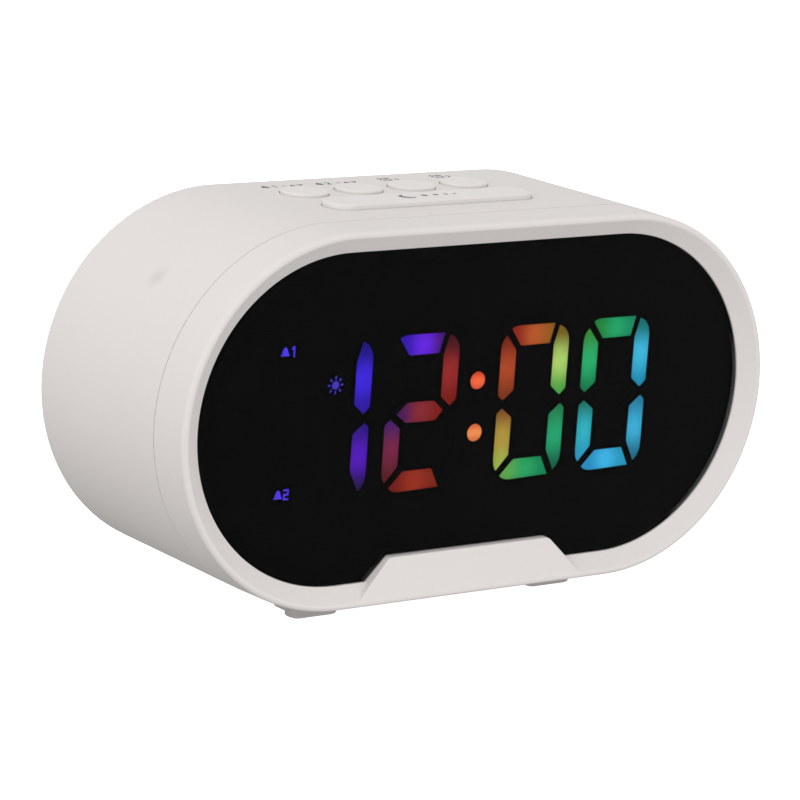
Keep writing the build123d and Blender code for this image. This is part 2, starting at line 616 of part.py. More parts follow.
with BuildPart() as rear_cover_screws:
    with BuildSketch(face_at(COVER_Y1 - 1.2)):
        with Locations(*BOSS_XZ):
            Circle(SHANK_D / 2)
    extrude(amount=8.4)
    with BuildSketch(face_at(COVER_Y1 - 0.2)):
        with Locations(*BOSS_XZ):
            Circle(HEAD_D / 2)
    extrude(amount=1.0)
    with BuildSketch(face_at(COVER_Y1 - 0.2)):
        with Locations(*BOSS_XZ):
            Rectangle(2.8, 0.6)
            Rectangle(0.6, 2.8)
    extrude(amount=0.7, mode=Mode.SUBTRACT)

# Battery door: swings out about its lower outer edge.
with BuildPart() as battery_door:
    with BuildSketch(face_at(COVER_Y1)):
        with Locations((BAY_X, 0)):
            RectangleRounded(DOOR_S, DOOR_S, 1.2)
    extrude(amount=1.5)
    with BuildSketch(face_at(COVER_Y1)):
        with Locations(*[(BAY_X, 7.0 + 1.5 * n) for n in range(3)]):
            SlotOverall(9.0, 0.7)
    extrude(amount=0.35, mode=Mode.SUBTRACT)
    with BuildSketch(face_at(COVER_Y1 - 1.5)):
        with Locations((BAY_X - 5, 0), (BAY_X + 5, 0)):
            Rectangle(1.2, 8.0)
    extrude(amount=0.25)

with BuildPart() as coin_cell:
    with BuildSketch(face_at(COVER_Y1 - 2.0)):
        with Locations((BAY_X, 0)):
            Circle(10.0)
    extrude(amount=2.7)
    fillet(coin_cell.edges().group_by(Axis.Y)[-1], radius=0.4)
    with BuildSketch(face_at(COVER_Y1 - 4.7)):
        with Locations((BAY_X, 0)):
            Circle(8.6)
    extrude(amount=0.5)

BAY_FLOOR = COVER_Y1 - 1.5 - 4.2
with BuildPart() as battery_contact_negative:
    with BuildSketch(face_at(BAY_FLOOR + 0.3)):
        with Locations((BAY_X, -2.5)):
            Rectangle(4.0, 15.0)
    extrude(amount=0.3)

with BuildPart() as battery_contact_positive:
    with BuildSketch(face_at(BAY_FLOOR + 3.2)):
        with Locations((BAY_X, 10.75)):
            Rectangle(4.0, 0.3)
    extrude(amount=3.2)
    with BuildSketch(face_at(BAY_FLOOR + 0.3)):
        with Locations((BAY_X, 9.9)):
            Rectangle(4.0, 1.9)
    extrude(amount=0.3)

# ---------------------------------------------------------------------------
# Rear controls and board
# ---------------------------------------------------------------------------
REAR_SWITCH_Y = REAR_BOARD_Y1 + 4.4
rear_buttons = {}
for label, x in REAR_BUTTON_X.items():
    with BuildPart() as rear_button:
        with BuildSketch(face_at(COVER_Y1 + 0.3)):
            with Locations((x, REAR_BUTTON_Z)):
                Circle(REAR_BUTTON_D / 2)
        extrude(amount=COVER_Y1 + 0.3 - COVER_Y0 + 0.1)
        fillet(rear_button.edges().group_by(Axis.Y)[-1], radius=0.35)
        with BuildSketch(face_at(COVER_Y0 - 0.1)):
            with Locations((x, REAR_BUTTON_Z)):
                Circle(REAR_BUTTON_D / 2 + 0.9)
        extrude(amount=1.1)
        with BuildSketch(face_at(COVER_Y0 - 1.2)):
            with Locations((x, REAR_BUTTON_Z)):
                Circle(1.5)
        extrude(amount=COVER_Y0 - 1.2 - REAR_SWITCH_Y - REAR_BUTTON_TRAVEL - 0.05)
        # raised mark on the cap: minus, ring or plus
        with BuildSketch(face_at(COVER_Y1 + 0.4)):
            with Locations((x, REAR_BUTTON_Z)):
                if label == "clock_set_button":
                    Circle(1.5)
                    Circle(1.1, mode=Mode.SUBTRACT)
                else:
                    Rectangle(3.0, 0.5)
                if label == "plus_button":
                    Rectangle(0.5, 3.0)
        extrude(amount=0.15)
    rear_buttons[label] = rear_button

rear_switch_labels = {"minus_switch": "minus_button", "clock_set_switch": "clock_set_button", "plus_switch": "plus_button"}
rear_switches = {}
for label, button in rear_switch_labels.items():
    with BuildPart() as rear_switch:
        with BuildSketch(face_at(REAR_BOARD_Y1 + 3.6)):
            with Locations((REAR_BUTTON_X[button], REAR_BUTTON_Z)):
                Rectangle(6.0, 6.0)
        extrude(amount=3.6)
        chamfer(rear_switch.edges().filter_by(Axis.Y), length=0.5)
        with BuildSketch(face_at(REAR_SWITCH_Y)):
            with Locations((REAR_BUTTON_X[button], REAR_BUTTON_Z)):
                Circle(1.7)
        extrude(amount=0.8)
    rear_switches[label] = rear_switch

sliders = {}
slide_switches = {}
for label, x in SLIDER_X.items():
    with BuildPart() as slider:
        with BuildSketch(face_at(COVER_Y1 + 0.2)):
            with Locations((x - SLIDER_TRAVEL / 2, SLIDER_Z)):
                Rectangle(3.4, 3.0)
        extrude(amount=COVER_Y1 + 0.2 - REAR_BOARD_Y1 - 3.7)
        with BuildSketch(face_at(COVER_Y1 + 0.2)):
            with Locations(*[(x - SLIDER_TRAVEL / 2 + dx, SLIDER_Z) for dx in (-0.9, 0, 0.9)]):
                Rectangle(0.35, 2.2)
        extrude(amount=0.4, mode=Mode.SUBTRACT)
    sliders[label] = slider
    with BuildPart() as slide_switch:
        with BuildSketch(face_at(REAR_BOARD_Y1 + 3.6)):
            with Locations((x, SLIDER_Z)):
                Rectangle(12.0, 5.0)
        extrude(amount=3.6)
        with BuildSketch(face_at(REAR_BOARD_Y1 + 3.6)):
            with Locations((x, SLIDER_Z)):
                Rectangle(9.4, 1.6)
        extrude(amount=1.2, mode=Mode.SUBTRACT)
    slide_switches[label.replace("slider", "switch")] = slide_switch

with BuildPart() as rear_board:
    with BuildSketch(face_at(REAR_BOARD_Y1)):
        with Locations((0, -2)):
            RectangleRounded(46.0, 48.0, 1.0)
        with Locations(*REAR_POST_XZ):
            Circle(CLEAR_D / 2, mode=Mode.SUBTRACT)
    extrude(amount=1.6)
    with BuildSketch(face_at(REAR_BOARD_Y0)):
        with Locations((13, -14), (13, -6)):
            Circle(2.5)
        with Locations((-12, -16), (-12, -12), (0, 8), (5, 8)):
            Rectangle(2.0, 1.2)
    extrude(amount=3.5)

with BuildPart() as rear_board_screws:
    with BuildSketch(face_at(REAR_BOARD_Y1 + 5.0)):
        with Locations(*REAR_POST_XZ):
            Circle(SHANK_D / 2)
    extrude(amount=6.6)
    with BuildSketch(face_at(REAR_BOARD_Y0)):
        with Locations(*REAR_POST_XZ):
            Circle(HEAD_D / 2)
    extrude(amount=1.7)
    with BuildSketch(face_at(REAR_BOARD_Y0 - 0.7)):
        with Locations(*REAR_POST_XZ):
            Rectangle(2.6, 0.6)
            Rectangle(0.6, 2.6)
    extrude(amount=1.0, mode=Mode.SUBTRACT)

with BuildPart() as power_inlet:
    with BuildSketch(face_at(COVER_Y0 - 0.2)):
        with Locations((0, INLET_Z)):
            Rectangle(9.0, 10.0)
    extrude(amount=COVER_Y0 - 0.2 - REAR_BOARD_Y1)
    with BuildSketch(face_at(COVER_Y1 - 0.1)):
        with Locations((0, INLET_Z)):
            Circle(4.0)
    extrude(amount=COVER_Y1 - COVER_Y0 + 0.1)
    with BuildSketch(face_at(COVER_Y1 - 0.1)):
        with Locations((0, INLET_Z)):
            Circle(2.8)
    extrude(amount=8.6, mode=Mode.SUBTRACT)

with BuildPart() as inlet_pin:
    with BuildSketch(face_at(COVER_Y1 - 1.0)):
        with Locations((0, INLET_Z)):
            Circle(1.0)
    extrude(amount=7.7)
    fillet(inlet_pin.edges().group_by(Axis.Y)[-1], radius=0.5)

# ---------------------------------------------------------------------------
# Loudspeaker: steel frame, paper cone, magnet.
# ---------------------------------------------------------------------------
with BuildPart() as speaker_frame:
    with BuildSketch(Plane(origin=(SPEAKER_X, COVER_Y0, ZC), x_dir=(1, 0, 0), z_dir=(0, 0, 1))):
        with BuildLine():
            Polyline((17.4, -0.1), (20.0, -0.1), (20.0, -1.1), (17.6, -1.1), (11.6, -7.4), (11.6, -8.4), (6.0, -8.4), (6.0, -7.4), (10.6, -7.4), (10.6, -7.0), (16.8, -0.6), close=True)
        make_face()
    revolve(axis=Axis((SPEAKER_X, 0, ZC), (0, 1, 0)))

with BuildPart() as speaker_cone:
    with BuildSketch(Plane(origin=(SPEAKER_X, COVER_Y0, ZC), x_dir=(1, 0, 0), z_dir=(0, 0, 1))):
        with BuildLine():
            Polyline((0.0, -5.0), (3.0, -5.4), (5.0, -6.6), (14.2, -1.2), (15.2, -0.6), (16.2, -0.5), (16.2, -0.85), (15.4, -1.0), (14.4, -1.7), (5.2, -7.1), (3.0, -5.8), (0.0, -5.4), close=True)
        make_face()
    revolve(axis=Axis((SPEAKER_X, 0, ZC), (0, 1, 0)))

with BuildPart() as speaker_magnet:
    with BuildSketch(face_at(COVER_Y0 - 8.4)):
        with Locations((SPEAKER_X, 0)):
            Circle(10.0)
    extrude(amount=4.2)
    chamfer(speaker_magnet.edges().group_by(Axis.Y)[0], length=0.5)

# ---------------------------------------------------------------------------
# Wiring, routed clear of everything else.
# ---------------------------------------------------------------------------
DISPLAY_REAR = BOARD_Y0 + BOARD_T
with BuildPart() as rear_board_ribbon:
    with BuildLine():
        Spline(
            (-6, DISPLAY_REAR, ZC - 10), (-6, -4, ZC - 13), (-6, 6, ZC - 13), (-6, REAR_BOARD_Y0, ZC - 10),
            tangents=[(0, 1, 0), (0, 1, 0)],
        )
    with BuildSketch(Plane(origin=(-6, DISPLAY_REAR, ZC - 10), x_dir=(1, 0, 0), z_dir=(0, 1, 0))):
        Rectangle(10.0, 0.8)
    sweep()

with BuildPart() as button_board_ribbon:
    with BuildLine():
        Spline(
            (-22, DISPLAY_REAR, ZC + 8), (-22, -6.5, ZC + 10), (-22, -3.2, ZC + 16), (-22, -3, TOP_BOARD_Z - 1.6),
            tangents=[(0, 1, 0), (0, 0, 1)],
        )
    with BuildSketch(Plane(origin=(-22, DISPLAY_REAR, ZC + 8), x_dir=(1, 0, 0), z_dir=(0, 1, 0))):
        Rectangle(6.0, 0.8)
    sweep()

speaker_wires = {}
for label, dz in (("speaker_wire_red", 2.0), ("speaker_wire_black", -2.0)):
    with BuildPart() as speaker_wire:
        with BuildLine():
            Spline(
                (SPEAKER_X - 10.3, 12.0, ZC + dz), (26, 9.5, ZC + dz - 3), (18, REAR_BOARD_Y0, ZC + dz - 2),
                tangents=[(-1, -0.2, 0), (0, 1, 0)],
            )
        with BuildSketch(Plane(origin=(SPEAKER_X - 10.3, 12.0, ZC + dz), z_dir=(-1, -0.2, 0))):
            Circle(0.6)
        sweep()
    speaker_wires[label] = speaker_wire

# ---------------------------------------------------------------------------
# One STEP file per piece
# ---------------------------------------------------------------------------
pieces = {
    "front_bezel": front_bezel,
    "display_window": display_window,
    "segment_mask": segment_mask,
    **digit_diffusers,
    "colon_diffuser": colon_diffuser,
    **alarm_indicators,
    "morning_indicator": morning_indicator,
    "reflector_block": reflector_block,
    "display_board": display_board,
    "clock_chip": clock_chip,
    "display_screws": display_screws,
    "main_housing": main_housing,
    **foot_pads,
    "snooze_bar": snooze_bar,
    **top_buttons,
    "button_board": button_board,
    **top_switches,
    "button_board_screws": button_board_screws,
    "rear_cover": rear_cover,
    "rear_cover_screws": rear_cover_screws,
    "battery_door": battery_door,
    "coin_cell": coin_cell,
    "battery_contact_negative": battery_contact_negative,
    "battery_contact_positive": battery_contact_positive,
    **rear_buttons,
    **rear_switches,
    **sliders,
    **slide_switches,
    "rear_board": rear_board,
    "rear_board_screws": rear_board_screws,
    "power_inlet": power_inlet,
    "inlet_pin": inlet_pin,
    "speaker_frame": speaker_frame,
    "speaker_cone": speaker_cone,
    "speaker_magnet": speaker_magnet,
    "rear_board_ribbon": rear_board_ribbon,
    "button_board_ribbon": button_board_ribbon,
    **speaker_wires,
}
for label, piece in pieces.items():
    piece.part.label = label
    export_step(piece.part, f"parts/{label}.step")
print(len(pieces), "pieces")
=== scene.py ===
"""Digital alarm clock with rainbow segment digits: materials, printed marks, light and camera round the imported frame."""
import math

import bpy
import bmesh
from mathutils import Matrix, Vector


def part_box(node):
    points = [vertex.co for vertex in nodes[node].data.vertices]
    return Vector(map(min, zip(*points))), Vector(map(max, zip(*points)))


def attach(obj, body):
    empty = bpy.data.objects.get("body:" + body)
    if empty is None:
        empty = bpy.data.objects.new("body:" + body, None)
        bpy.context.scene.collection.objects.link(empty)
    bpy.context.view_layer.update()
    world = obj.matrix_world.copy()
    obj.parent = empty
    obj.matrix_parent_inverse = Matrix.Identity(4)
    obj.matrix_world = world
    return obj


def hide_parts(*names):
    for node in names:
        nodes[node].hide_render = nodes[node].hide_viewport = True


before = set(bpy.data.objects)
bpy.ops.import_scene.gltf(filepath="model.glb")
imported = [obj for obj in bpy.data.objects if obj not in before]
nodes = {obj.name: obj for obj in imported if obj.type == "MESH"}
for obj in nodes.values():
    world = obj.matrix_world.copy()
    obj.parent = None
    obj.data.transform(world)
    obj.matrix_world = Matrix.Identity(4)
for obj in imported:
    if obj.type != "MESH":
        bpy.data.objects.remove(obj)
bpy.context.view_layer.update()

MM = 0.001
ZC = 41.5 * MM          # height of the middle of the body
DOME_LEVEL, DOME_UP, DOME_DOWN = 0.70, 0.23, 0.60


# ----------------------------------------------------------------------------
# small helpers
# ----------------------------------------------------------------------------
def lin(c):
    """sRGB 0-255 to linear."""
    out = []
    for v in c:
        v = v / 255.0
        out.append(v / 12.92 if v <= 0.04045 else ((v + 0.055) / 1.055) ** 2.4)
    return tuple(out)


class Mat:
    """A node material with short calls to build it."""

    def __init__(self, name):
        self.m = bpy.data.materials.new(name)
        self.m.use_nodes = True
        self.nt = self.m.node_tree
        self.n = self.nt.nodes
        self.b = self.n["Principled BSDF"]
        self.coord = self.n.new("ShaderNodeTexCoord").outputs["Object"]

    def link(self, a, b):
        self.nt.links.new(a, b)

    def set(self, **kw):
        for k, v in kw.items():
            self.b.inputs[k.replace("_", " ")].default_value = v

    def noise(self, scale, detail=2.0, rough=0.5, stretch=None, kind="FBM"):
        src = self.coord
        if stretch:
            mp = self.n.new("ShaderNodeMapping")
            mp.inputs["Scale"].default_value = stretch
            self.link(src, mp.inputs["Vector"])
            src = mp.outputs["Vector"]
        t = self.n.new("ShaderNodeTexNoise")
        t.noise_type = kind
        t.inputs["Scale"].default_value = scale
        t.inputs["Detail"].default_value = detail
        t.inputs["Roughness"].default_value = rough
        self.link(src, t.inputs["Vector"])
        return t.outputs["Fac"]

    def voronoi(self, scale, feature="F1"):
        t = self.n.new("ShaderNodeTexVoronoi")
        t.feature = feature
        t.inputs["Scale"].default_value = scale
        self.link(self.coord, t.inputs["Vector"])
        return t.outputs["Distance"]

    def math(self, op, a, b=None, c=None, clamp=False):
        t = self.n.new("ShaderNodeMath")
        t.operation = op
        t.use_clamp = clamp
        for i, v in enumerate((a, b, c)):
            if v is None:
                continue
            if isinstance(v, (int, float)):
                t.inputs[i].default_value = v
            else:
                self.link(v, t.inputs[i])
        return t.outputs[0]

    def remap(self, v, a, b, lo, hi):
        t = self.n.new("ShaderNodeMapRange")
        t.inputs["From Min"].default_value = a
        t.inputs["From Max"].default_value = b
        t.inputs["To Min"].default_value = lo
        t.inputs["To Max"].default_value = hi
        self.link(v, t.inputs["Value"])
        return t.outputs["Result"]

    def mix(self, fac, a, b, mode="MIX"):
        t = self.n.new("ShaderNodeMix")
        t.data_type = "RGBA"
        t.blend_type = mode
        if isinstance(fac, (int, float)):
            t.inputs[0].default_value = fac
        else:
            self.link(fac, t.inputs[0])
        for sock, v in ((t.inputs[6], a), (t.inputs[7], b)):
            if isinstance(v, tuple):
                sock.default_value = (*v[:3], 1.0)
            else:
                self.link(v, sock)
        return t.outputs[2]

    def ramp(self, v, stops, interp="EASE"):
        t = self.n.new("ShaderNodeValToRGB")
        r = t.color_ramp
        r.interpolation = interp
        while len(r.elements) > 1:
            r.elements.remove(r.elements[-1])
        for i, (pos, col) in enumerate(stops):
            e = r.elements[0] if i == 0 else r.elements.new(pos)
            e.position = pos
            e.color = (*col, 1.0)
        self.link(v, t.inputs[0])
        return t.outputs["Color"]

    def xyz(self):
        t = self.n.new("ShaderNodeSeparateXYZ")
        self.link(self.coord, t.inputs[0])
        return t.outputs

    def bump(self, h, strength, dist):
        t = self.n.new("ShaderNodeBump")
        t.inputs["Strength"].default_value = strength
        t.inputs["Distance"].default_value = dist
        self.link(h, t.inputs["Height"])
        self.link(t.outputs["Normal"], self.b.inputs["Normal"])

    def color(self, c):
        self.link(c, self.b.inputs["Base Color"])

    def rough(self, v):
        self.link(v, self.b.inputs["Roughness"])


def assign(names, material):
    for name in ([names] if isinstance(names, str) else names):
        o = nodes[name]
        o.data.materials.clear()
        o.data.materials.append(material.m)


# ----------------------------------------------------------------------------
# plastics of the case
# ----------------------------------------------------------------------------
def white_plastic(name, tint, grain=5200.0, grain_depth=0.000012, rough=0.46, mark=None, foot=None):
    """Moulded ABS with a fine spark-eroded grain, faint flow variation and slightly uneven gloss."""
    m = Mat(name)
    warm = lin(tint)
    cool = tuple(v * k for v, k in zip(warm, (0.972, 0.976, 0.985)))
    flow = m.remap(m.noise(26.0, 3.0, 0.55), 0.3, 0.7, 0.0, 1.0)
    speck = m.remap(m.noise(900.0, 2.0, 0.6), 0.35, 0.65, 0.0, 1.0)
    base = m.mix(flow, warm, cool)
    base = m.mix(m.math("MULTIPLY", speck, 0.25), base, tuple(v * 0.965 for v in warm))
    if mark:
        # painted shade of a soft sink mark in the left wall, over an inner rib
        at, size = mark
        d = m.n.new("ShaderNodeVectorMath")
        d.operation = "DISTANCE"
        m.link(m.coord, d.inputs[0])
        d.inputs[1].default_value = at
        wobble = m.math("MULTIPLY_ADD", m.noise(300.0, 1.0), size * 0.5, d.outputs["Value"])
        painted_sink_shade = m.remap(wobble, size * 0.45, size * 1.25, 1.0, 0.0)
        base = m.mix(m.math("MULTIPLY", painted_sink_shade, 0.55), base, tuple(v * k for v, k in zip(warm, (0.80, 0.79, 0.81))))
    if foot:
        # painted shade below the belly: the feet, and a thin band of the wall over them, darkened to stand in for the
        # shade near the floor
        z = m.xyz()[2]
        low = m.remap(m.math("MULTIPLY_ADD", m.noise(220.0, 2.0), 0.0008, z), foot[0], foot[1], 1.0, 0.0)
        base = m.mix(low, base, tuple(v * foot[2] for v in warm))
    m.color(base)
    r = m.math("MULTIPLY_ADD", m.noise(60.0, 3.0), 0.10, rough - 0.05)
    r = m.math("MULTIPLY_ADD", m.noise(2400.0, 1.0), 0.06, r)
    m.rough(r)
    g = m.math("ADD", m.noise(grain, 2.0, 0.6), m.math("MULTIPLY", m.voronoi(grain * 0.55), 0.6))
    m.bump(g, 0.22, grain_depth)
    m.set(Specular_IOR_Level=0.42)
    return m


BODY_TINT = (230, 225, 222)
# foot paints shade over the feet and the wall just above them, standing in for the contact shade
housing = white_plastic("housing_plastic", BODY_TINT, mark=((-0.0592, 0.0003, ZC + 0.0246), 0.0027),
                        foot=(0.0048, 0.0078, 0.52))
bezel = white_plastic("bezel_plastic", BODY_TINT)
# lighter tint than the body: painted light, standing in for the front light on the buttons' sides
button = white_plastic("lit_button_plastic", (235, 231, 228), grain=6400.0, grain_depth=0.000008, rough=0.42)
cover = white_plastic("cover_plastic", (226, 222, 218), grain=2600.0, grain_depth=0.00003, rough=0.55)
door = white_plastic("door_plastic", (227, 223, 220), grain=3600.0, grain_depth=0.00002, rough=0.5)
assign("main_housing", housing)
assign("front_bezel", bezel)
assign(["alarm_one_set_button", "alarm_two_set_button", "alarm_one_button", "alarm_two_button"], button)
assign(["minus_button", "clock_set_button", "plus_button"], button)
assign("rear_cover", cover)
assign("battery_door", door)


def lit_snooze_plastic():
    """The same lighter tint as the buttons, painted light for the front light on the bar, with a printed crescent moon
    and four fading dots on the bar's top.
    """
    m = white_plastic("lit_snooze_plastic", (235, 231, 228), grain=6400.0, grain_depth=0.000008, rough=0.42)
    base = m.b.inputs["Base Color"].links[0].from_socket
    x, y, z = m.xyz()

    def disc(cx, cy, r, soft=0.00006):
        dx = m.math("SUBTRACT", x, cx)
        dy = m.math("SUBTRACT", y, cy)
        d = m.math("SQRT", m.math("ADD", m.math("MULTIPLY", dx, dx), m.math("MULTIPLY", dy, dy)))
        return m.remap(d, r - soft, r + soft, 1.0, 0.0)

    cy = -2.3 * MM
    moon = m.math("SUBTRACT", disc(-5.0 * MM, cy, 1.75 * MM), disc(-4.2 * MM, cy + 0.5 * MM, 1.45 * MM), clamp=True)
    ink = moon
    for cx, r in ((-1.0, 0.75), (1.7, 0.62), (4.1, 0.5), (6.2, 0.4)):
        ink = m.math("MAXIMUM", ink, disc(cx * MM, cy, r * MM))
    top = m.math("GREATER_THAN", z, 78.7 * MM)
    ink = m.math("MULTIPLY", ink, top)
    worn = m.math("MULTIPLY", ink, m.remap(m.noise(1500.0, 2.0), 0.2, 0.6, 0.78, 1.0))
    m.color(m.mix(worn, base, lin((70, 70, 76))))
    return m


assign("snooze_bar", lit_snooze_plastic())

# ----------------------------------------------------------------------------
# smoked window and black inner parts
# ----------------------------------------------------------------------------
window = Mat("smoked_window")
window.set(Roughness=0.03, IOR=1.14, Transmission_Weight=1.0, Specular_IOR_Level=0.5)
tone = window.remap(window.noise(14.0, 2.0), 0.3, 0.7, 0.0, 1.0)
window.color(window.mix(tone, (0.40, 0.40, 0.41), (0.42, 0.42, 0.425)))
window.rough(window.remap(window.noise(45.0, 3.0), 0.3, 0.7, 0.02, 0.05))
assign("display_window", window)
WINDOW_PASS = 0.41 * 0.99


def black_plastic(name, tint=(14, 14, 14), rough=0.55, grain=3000.0, depth=0.00002):
    m = Mat(name)
    c = lin(tint)
    m.color(m.mix(m.noise(90.0, 3.0), c, tuple(v * 1.6 + 0.0006 for v in c)))
    m.rough(m.remap(m.noise(200.0, 3.0), 0.3, 0.7, rough - 0.06, rough + 0.06))
    m.bump(m.noise(grain, 2.0), 0.3, depth)
    m.set(Specular_IOR_Level=0.3)
    return m


film = Mat("mask_film")
film.color(film.mix(film.noise(60.0, 2.0), (0.0016, 0.0016, 0.0017), (0.0024, 0.0024, 0.0025)))
film.rough(film.remap(film.noise(120.0, 2.0), 0.3, 0.7, 0.86, 0.94))
film.set(Specular_IOR_Level=0.12)
assign("segment_mask", film)
assign("reflector_block", black_plastic("reflector_black", (24, 24, 25), 0.6))
assign(["snooze_switch", "alarm_one_set_switch", "alarm_two_set_switch", "alarm_one_switch", "alarm_two_switch",
        "minus_switch", "clock_set_switch", "plus_switch", "dimmer_switch", "volume_switch"],
       black_plastic("switch_black", (28, 28, 29), 0.45))
assign("clock_chip", black_plastic("chip_black", (26, 26, 28), 0.5, 6000.0))
assign("power_inlet", black_plastic("inlet_black", (22, 22, 23), 0.32, 5000.0, 0.00001))
assign(["dimmer_slider", "volume_slider"], black_plastic("slider_grey", (96, 96, 98), 0.45, 4000.0))
assign("speaker_cone", black_plastic("cone_paper", (30, 29, 29), 0.9, 2200.0, 0.00006))
assign("speaker_magnet", black_plastic("magnet_ferrite", (62, 62, 64), 0.6, 2500.0, 0.00004))
assign("speaker_frame", black_plastic("speaker_frame_paint", (38, 38, 40), 0.35, 3000.0))


def metal(name, tint, rough, stretch=(1.0, 1.0, 1.0)):
    m = Mat(name)
    c = lin(tint)
    scratches = m.noise(900.0, 4.0, 0.7, stretch=stretch)
    m.color(m.mix(m.remap(scratches, 0.3, 0.7, 0.0, 1.0), c, tuple(v * 0.84 for v in c)))
    m.rough(m.remap(scratches, 0.25, 0.75, rough, rough + 0.14))
    m.bump(scratches, 0.15, 0.00001)
    m.set(Metallic=1.0)
    return m


steel = metal("screw_zinc", (196, 197, 199), 0.26)
assign(["display_screws", "button_board_screws", "rear_cover_screws", "rear_board_screws"], steel)
assign("coin_cell", metal("cell_nickel", (205, 204, 200), 0.2, (1.0, 0.2, 1.0)))
assign(["battery_contact_negative", "battery_contact_positive", "inlet_pin"], metal("contact_nickel", (208, 204, 192), 0.2))


def board(name):
    m = Mat(name)
    fine = m.noise(420.0, 4.0, 0.6, kind="FBM")
    tracks = m.remap(m.voronoi(260.0, "DISTANCE_TO_EDGE"), 0.03, 0.06, 1.0, 0.0)
    base = m.mix(fine, lin((20, 84, 46)), lin((26, 100, 56)))
    m.color(m.mix(m.math("MULTIPLY", tracks, 0.5), base, lin((46, 128, 74))))
    m.rough(m.remap(fine, 0.3, 0.7, 0.28, 0.4))
    m.bump(tracks, 0.3, 0.00003)
    return m


assign(["display_board", "button_board", "rear_board"], board("board_green"))

rubber = Mat("pad_rubber")
rubber.color(rubber.mix(rubber.noise(500.0, 3.0), lin((176, 173, 170)), lin((168, 165, 162))))
rubber.rough(rubber.remap(rubber.noise(900.0, 2.0), 0.3, 0.7, 0.75, 0.92))
rubber.bump(rubber.noise(3500.0, 2.0), 0.4, 0.00003)
rubber.set(Specular_IOR_Level=0.3)
assign(["front_left_foot_pad", "front_right_foot_pad", "rear_left_foot_pad", "rear_right_foot_pad"], rubber)


def wire(name, tint):
    m = Mat(name)
    c = lin(tint)
    m.color(m.mix(m.noise(300.0, 2.0), c, tuple(v * 0.8 for v in c)))
    m.rough(m.remap(m.noise(600.0, 2.0), 0.3, 0.7, 0.4, 0.55))
    m.bump(m.noise(2500.0, 2.0), 0.2, 0.00002)
    return m


assign("speaker_wire_red", wire("wire_red", (176, 30, 28)))
assign("speaker_wire_black", wire("wire_black", (30, 30, 30)))


def ribbon(name, axis):
    m = Mat(name)
    x = m.xyz()[axis]
    rib = m.math("SINE", m.math("MULTIPLY", x, 2 * math.pi / 0.00127))
    # the colour is darker in each groove and lighter on each rib, in step with the bump: painted shade and highlight
    m.color(m.mix(m.remap(rib, -1.0, 1.0, 0.0, 1.0), lin((150, 151, 154)), lin((178, 179, 182))))
    m.rough(m.remap(m.noise(500.0, 2.0), 0.3, 0.7, 0.42, 0.55))
    m.bump(rib, 0.6, 0.0002)
    return m


assign(["rear_board_ribbon", "button_board_ribbon"], ribbon("ribbon_grey", 0))

# ----------------------------------------------------------------------------
# lights behind the window: every segment has its own three tints along its length
# ----------------------------------------------------------------------------
K = 0.9733 * MM
SEGMENTS = {
    "top": [(-5.74, 14.91), (-4.14, 15.46), (4.84, 15.39), (3.74, 11.40), (-3.34, 11.38)],
    "upper_left": [(-6.91, 13.65), (-4.47, 10.53), (-4.53, 2.42), (-7.06, 0.54), (-8.26, 1.62), (-8.19, 11.18)],
    "upper_right": [(6.10, 14.94), (8.30, 13.0), (8.59, 11.67), (8.46, 1.87), (7.04, 0.62), (4.76, 2.59), (4.84, 10.95)],
    "middle": [(-5.57, -0.19), (-3.20, 1.90), (3.11, 1.86), (5.37, -0.22), (3.62, -2.12), (-3.34, -2.08)],
    "lower_left": [(-7.07, -1.19), (-4.66, -3.12), (-4.76, -10.80), (-7.66, -13.81), (-8.40, -11.46), (-8.33, -2.19)],
    "lower_right": [(7.39, -1.23), (8.39, -2.11), (8.34, -11.25), (7.60, -14.0), (6.67, -14.86), (4.61, -10.53), (4.73, -3.30)],
    "bottom": [(-6.60, -14.98), (-3.47, -11.86), (3.44, -11.85), (5.27, -15.68), (-4.48, -15.93)],
}
CENTRES = {
    "top": (0.0, 13.4), "upper_left": (-6.4, 7.1), "upper_right": (6.6, 7.6), "middle": (0.0, -0.1),
    "lower_left": (-6.5, -7.1), "lower_right": (6.5, -7.8), "bottom": (-0.6, -13.9),
}
DIGITS = {
    "hour_tens_diffuser": (-34.05, {
        "upper_right": [(24, 13, 120), (62, 35, 216), (40, 19, 150)],
        "lower_right": [(40, 16, 118), (81, 22, 182), (34, 14, 70)],
    }),
    "hour_ones_diffuser": (-13.5, {
        "top": [(50, 19, 169), (101, 34, 222), (69, 20, 110)],
        "upper_right": [(66, 15, 26), (148, 40, 40), (117, 24, 15)],
        "middle": [(72, 22, 82), (134, 40, 48), (122, 27, 20)],
        "lower_left": [(60, 24, 102), (115, 34, 67), (82, 26, 25)],
        "bottom": [(112, 24, 17), (149, 47, 28), (123, 37, 20)],
    }),
    "minute_tens_diffuser": (13.5, {
        "top": [(140, 38, 20), (180, 86, 38), (138, 88, 23)],
        "upper_left": [(110, 29, 14), (170, 70, 35), (119, 49, 22)],
        "upper_right": [(112, 88, 20), (169, 206, 104), (72, 158, 65)],
        "lower_left": [(114, 62, 24), (173, 146, 60), (144, 174, 71)],
        "lower_right": [(32, 119, 70), (33, 161, 108), (14, 94, 67)],
        "bottom": [(90, 161, 75), (40, 160, 94), (17, 132, 84)],
    }),
    "minute_ones_diffuser": (34.05, {
        "top": [(31, 130, 58), (30, 160, 101), (20, 129, 90)],
        "upper_left": [(53, 131, 48), (38, 171, 106), (16, 115, 69)],
        "upper_right": [(19, 107, 107), (61, 180, 216), (25, 135, 170)],
        "lower_left": [(20, 104, 77), (45, 171, 185), (40, 146, 188)],
        "lower_right": [(34, 119, 152), (57, 170, 208), (26, 101, 128)],
        "bottom": [(36, 137, 186), (58, 175, 222), (36, 148, 185)],
    }),
}


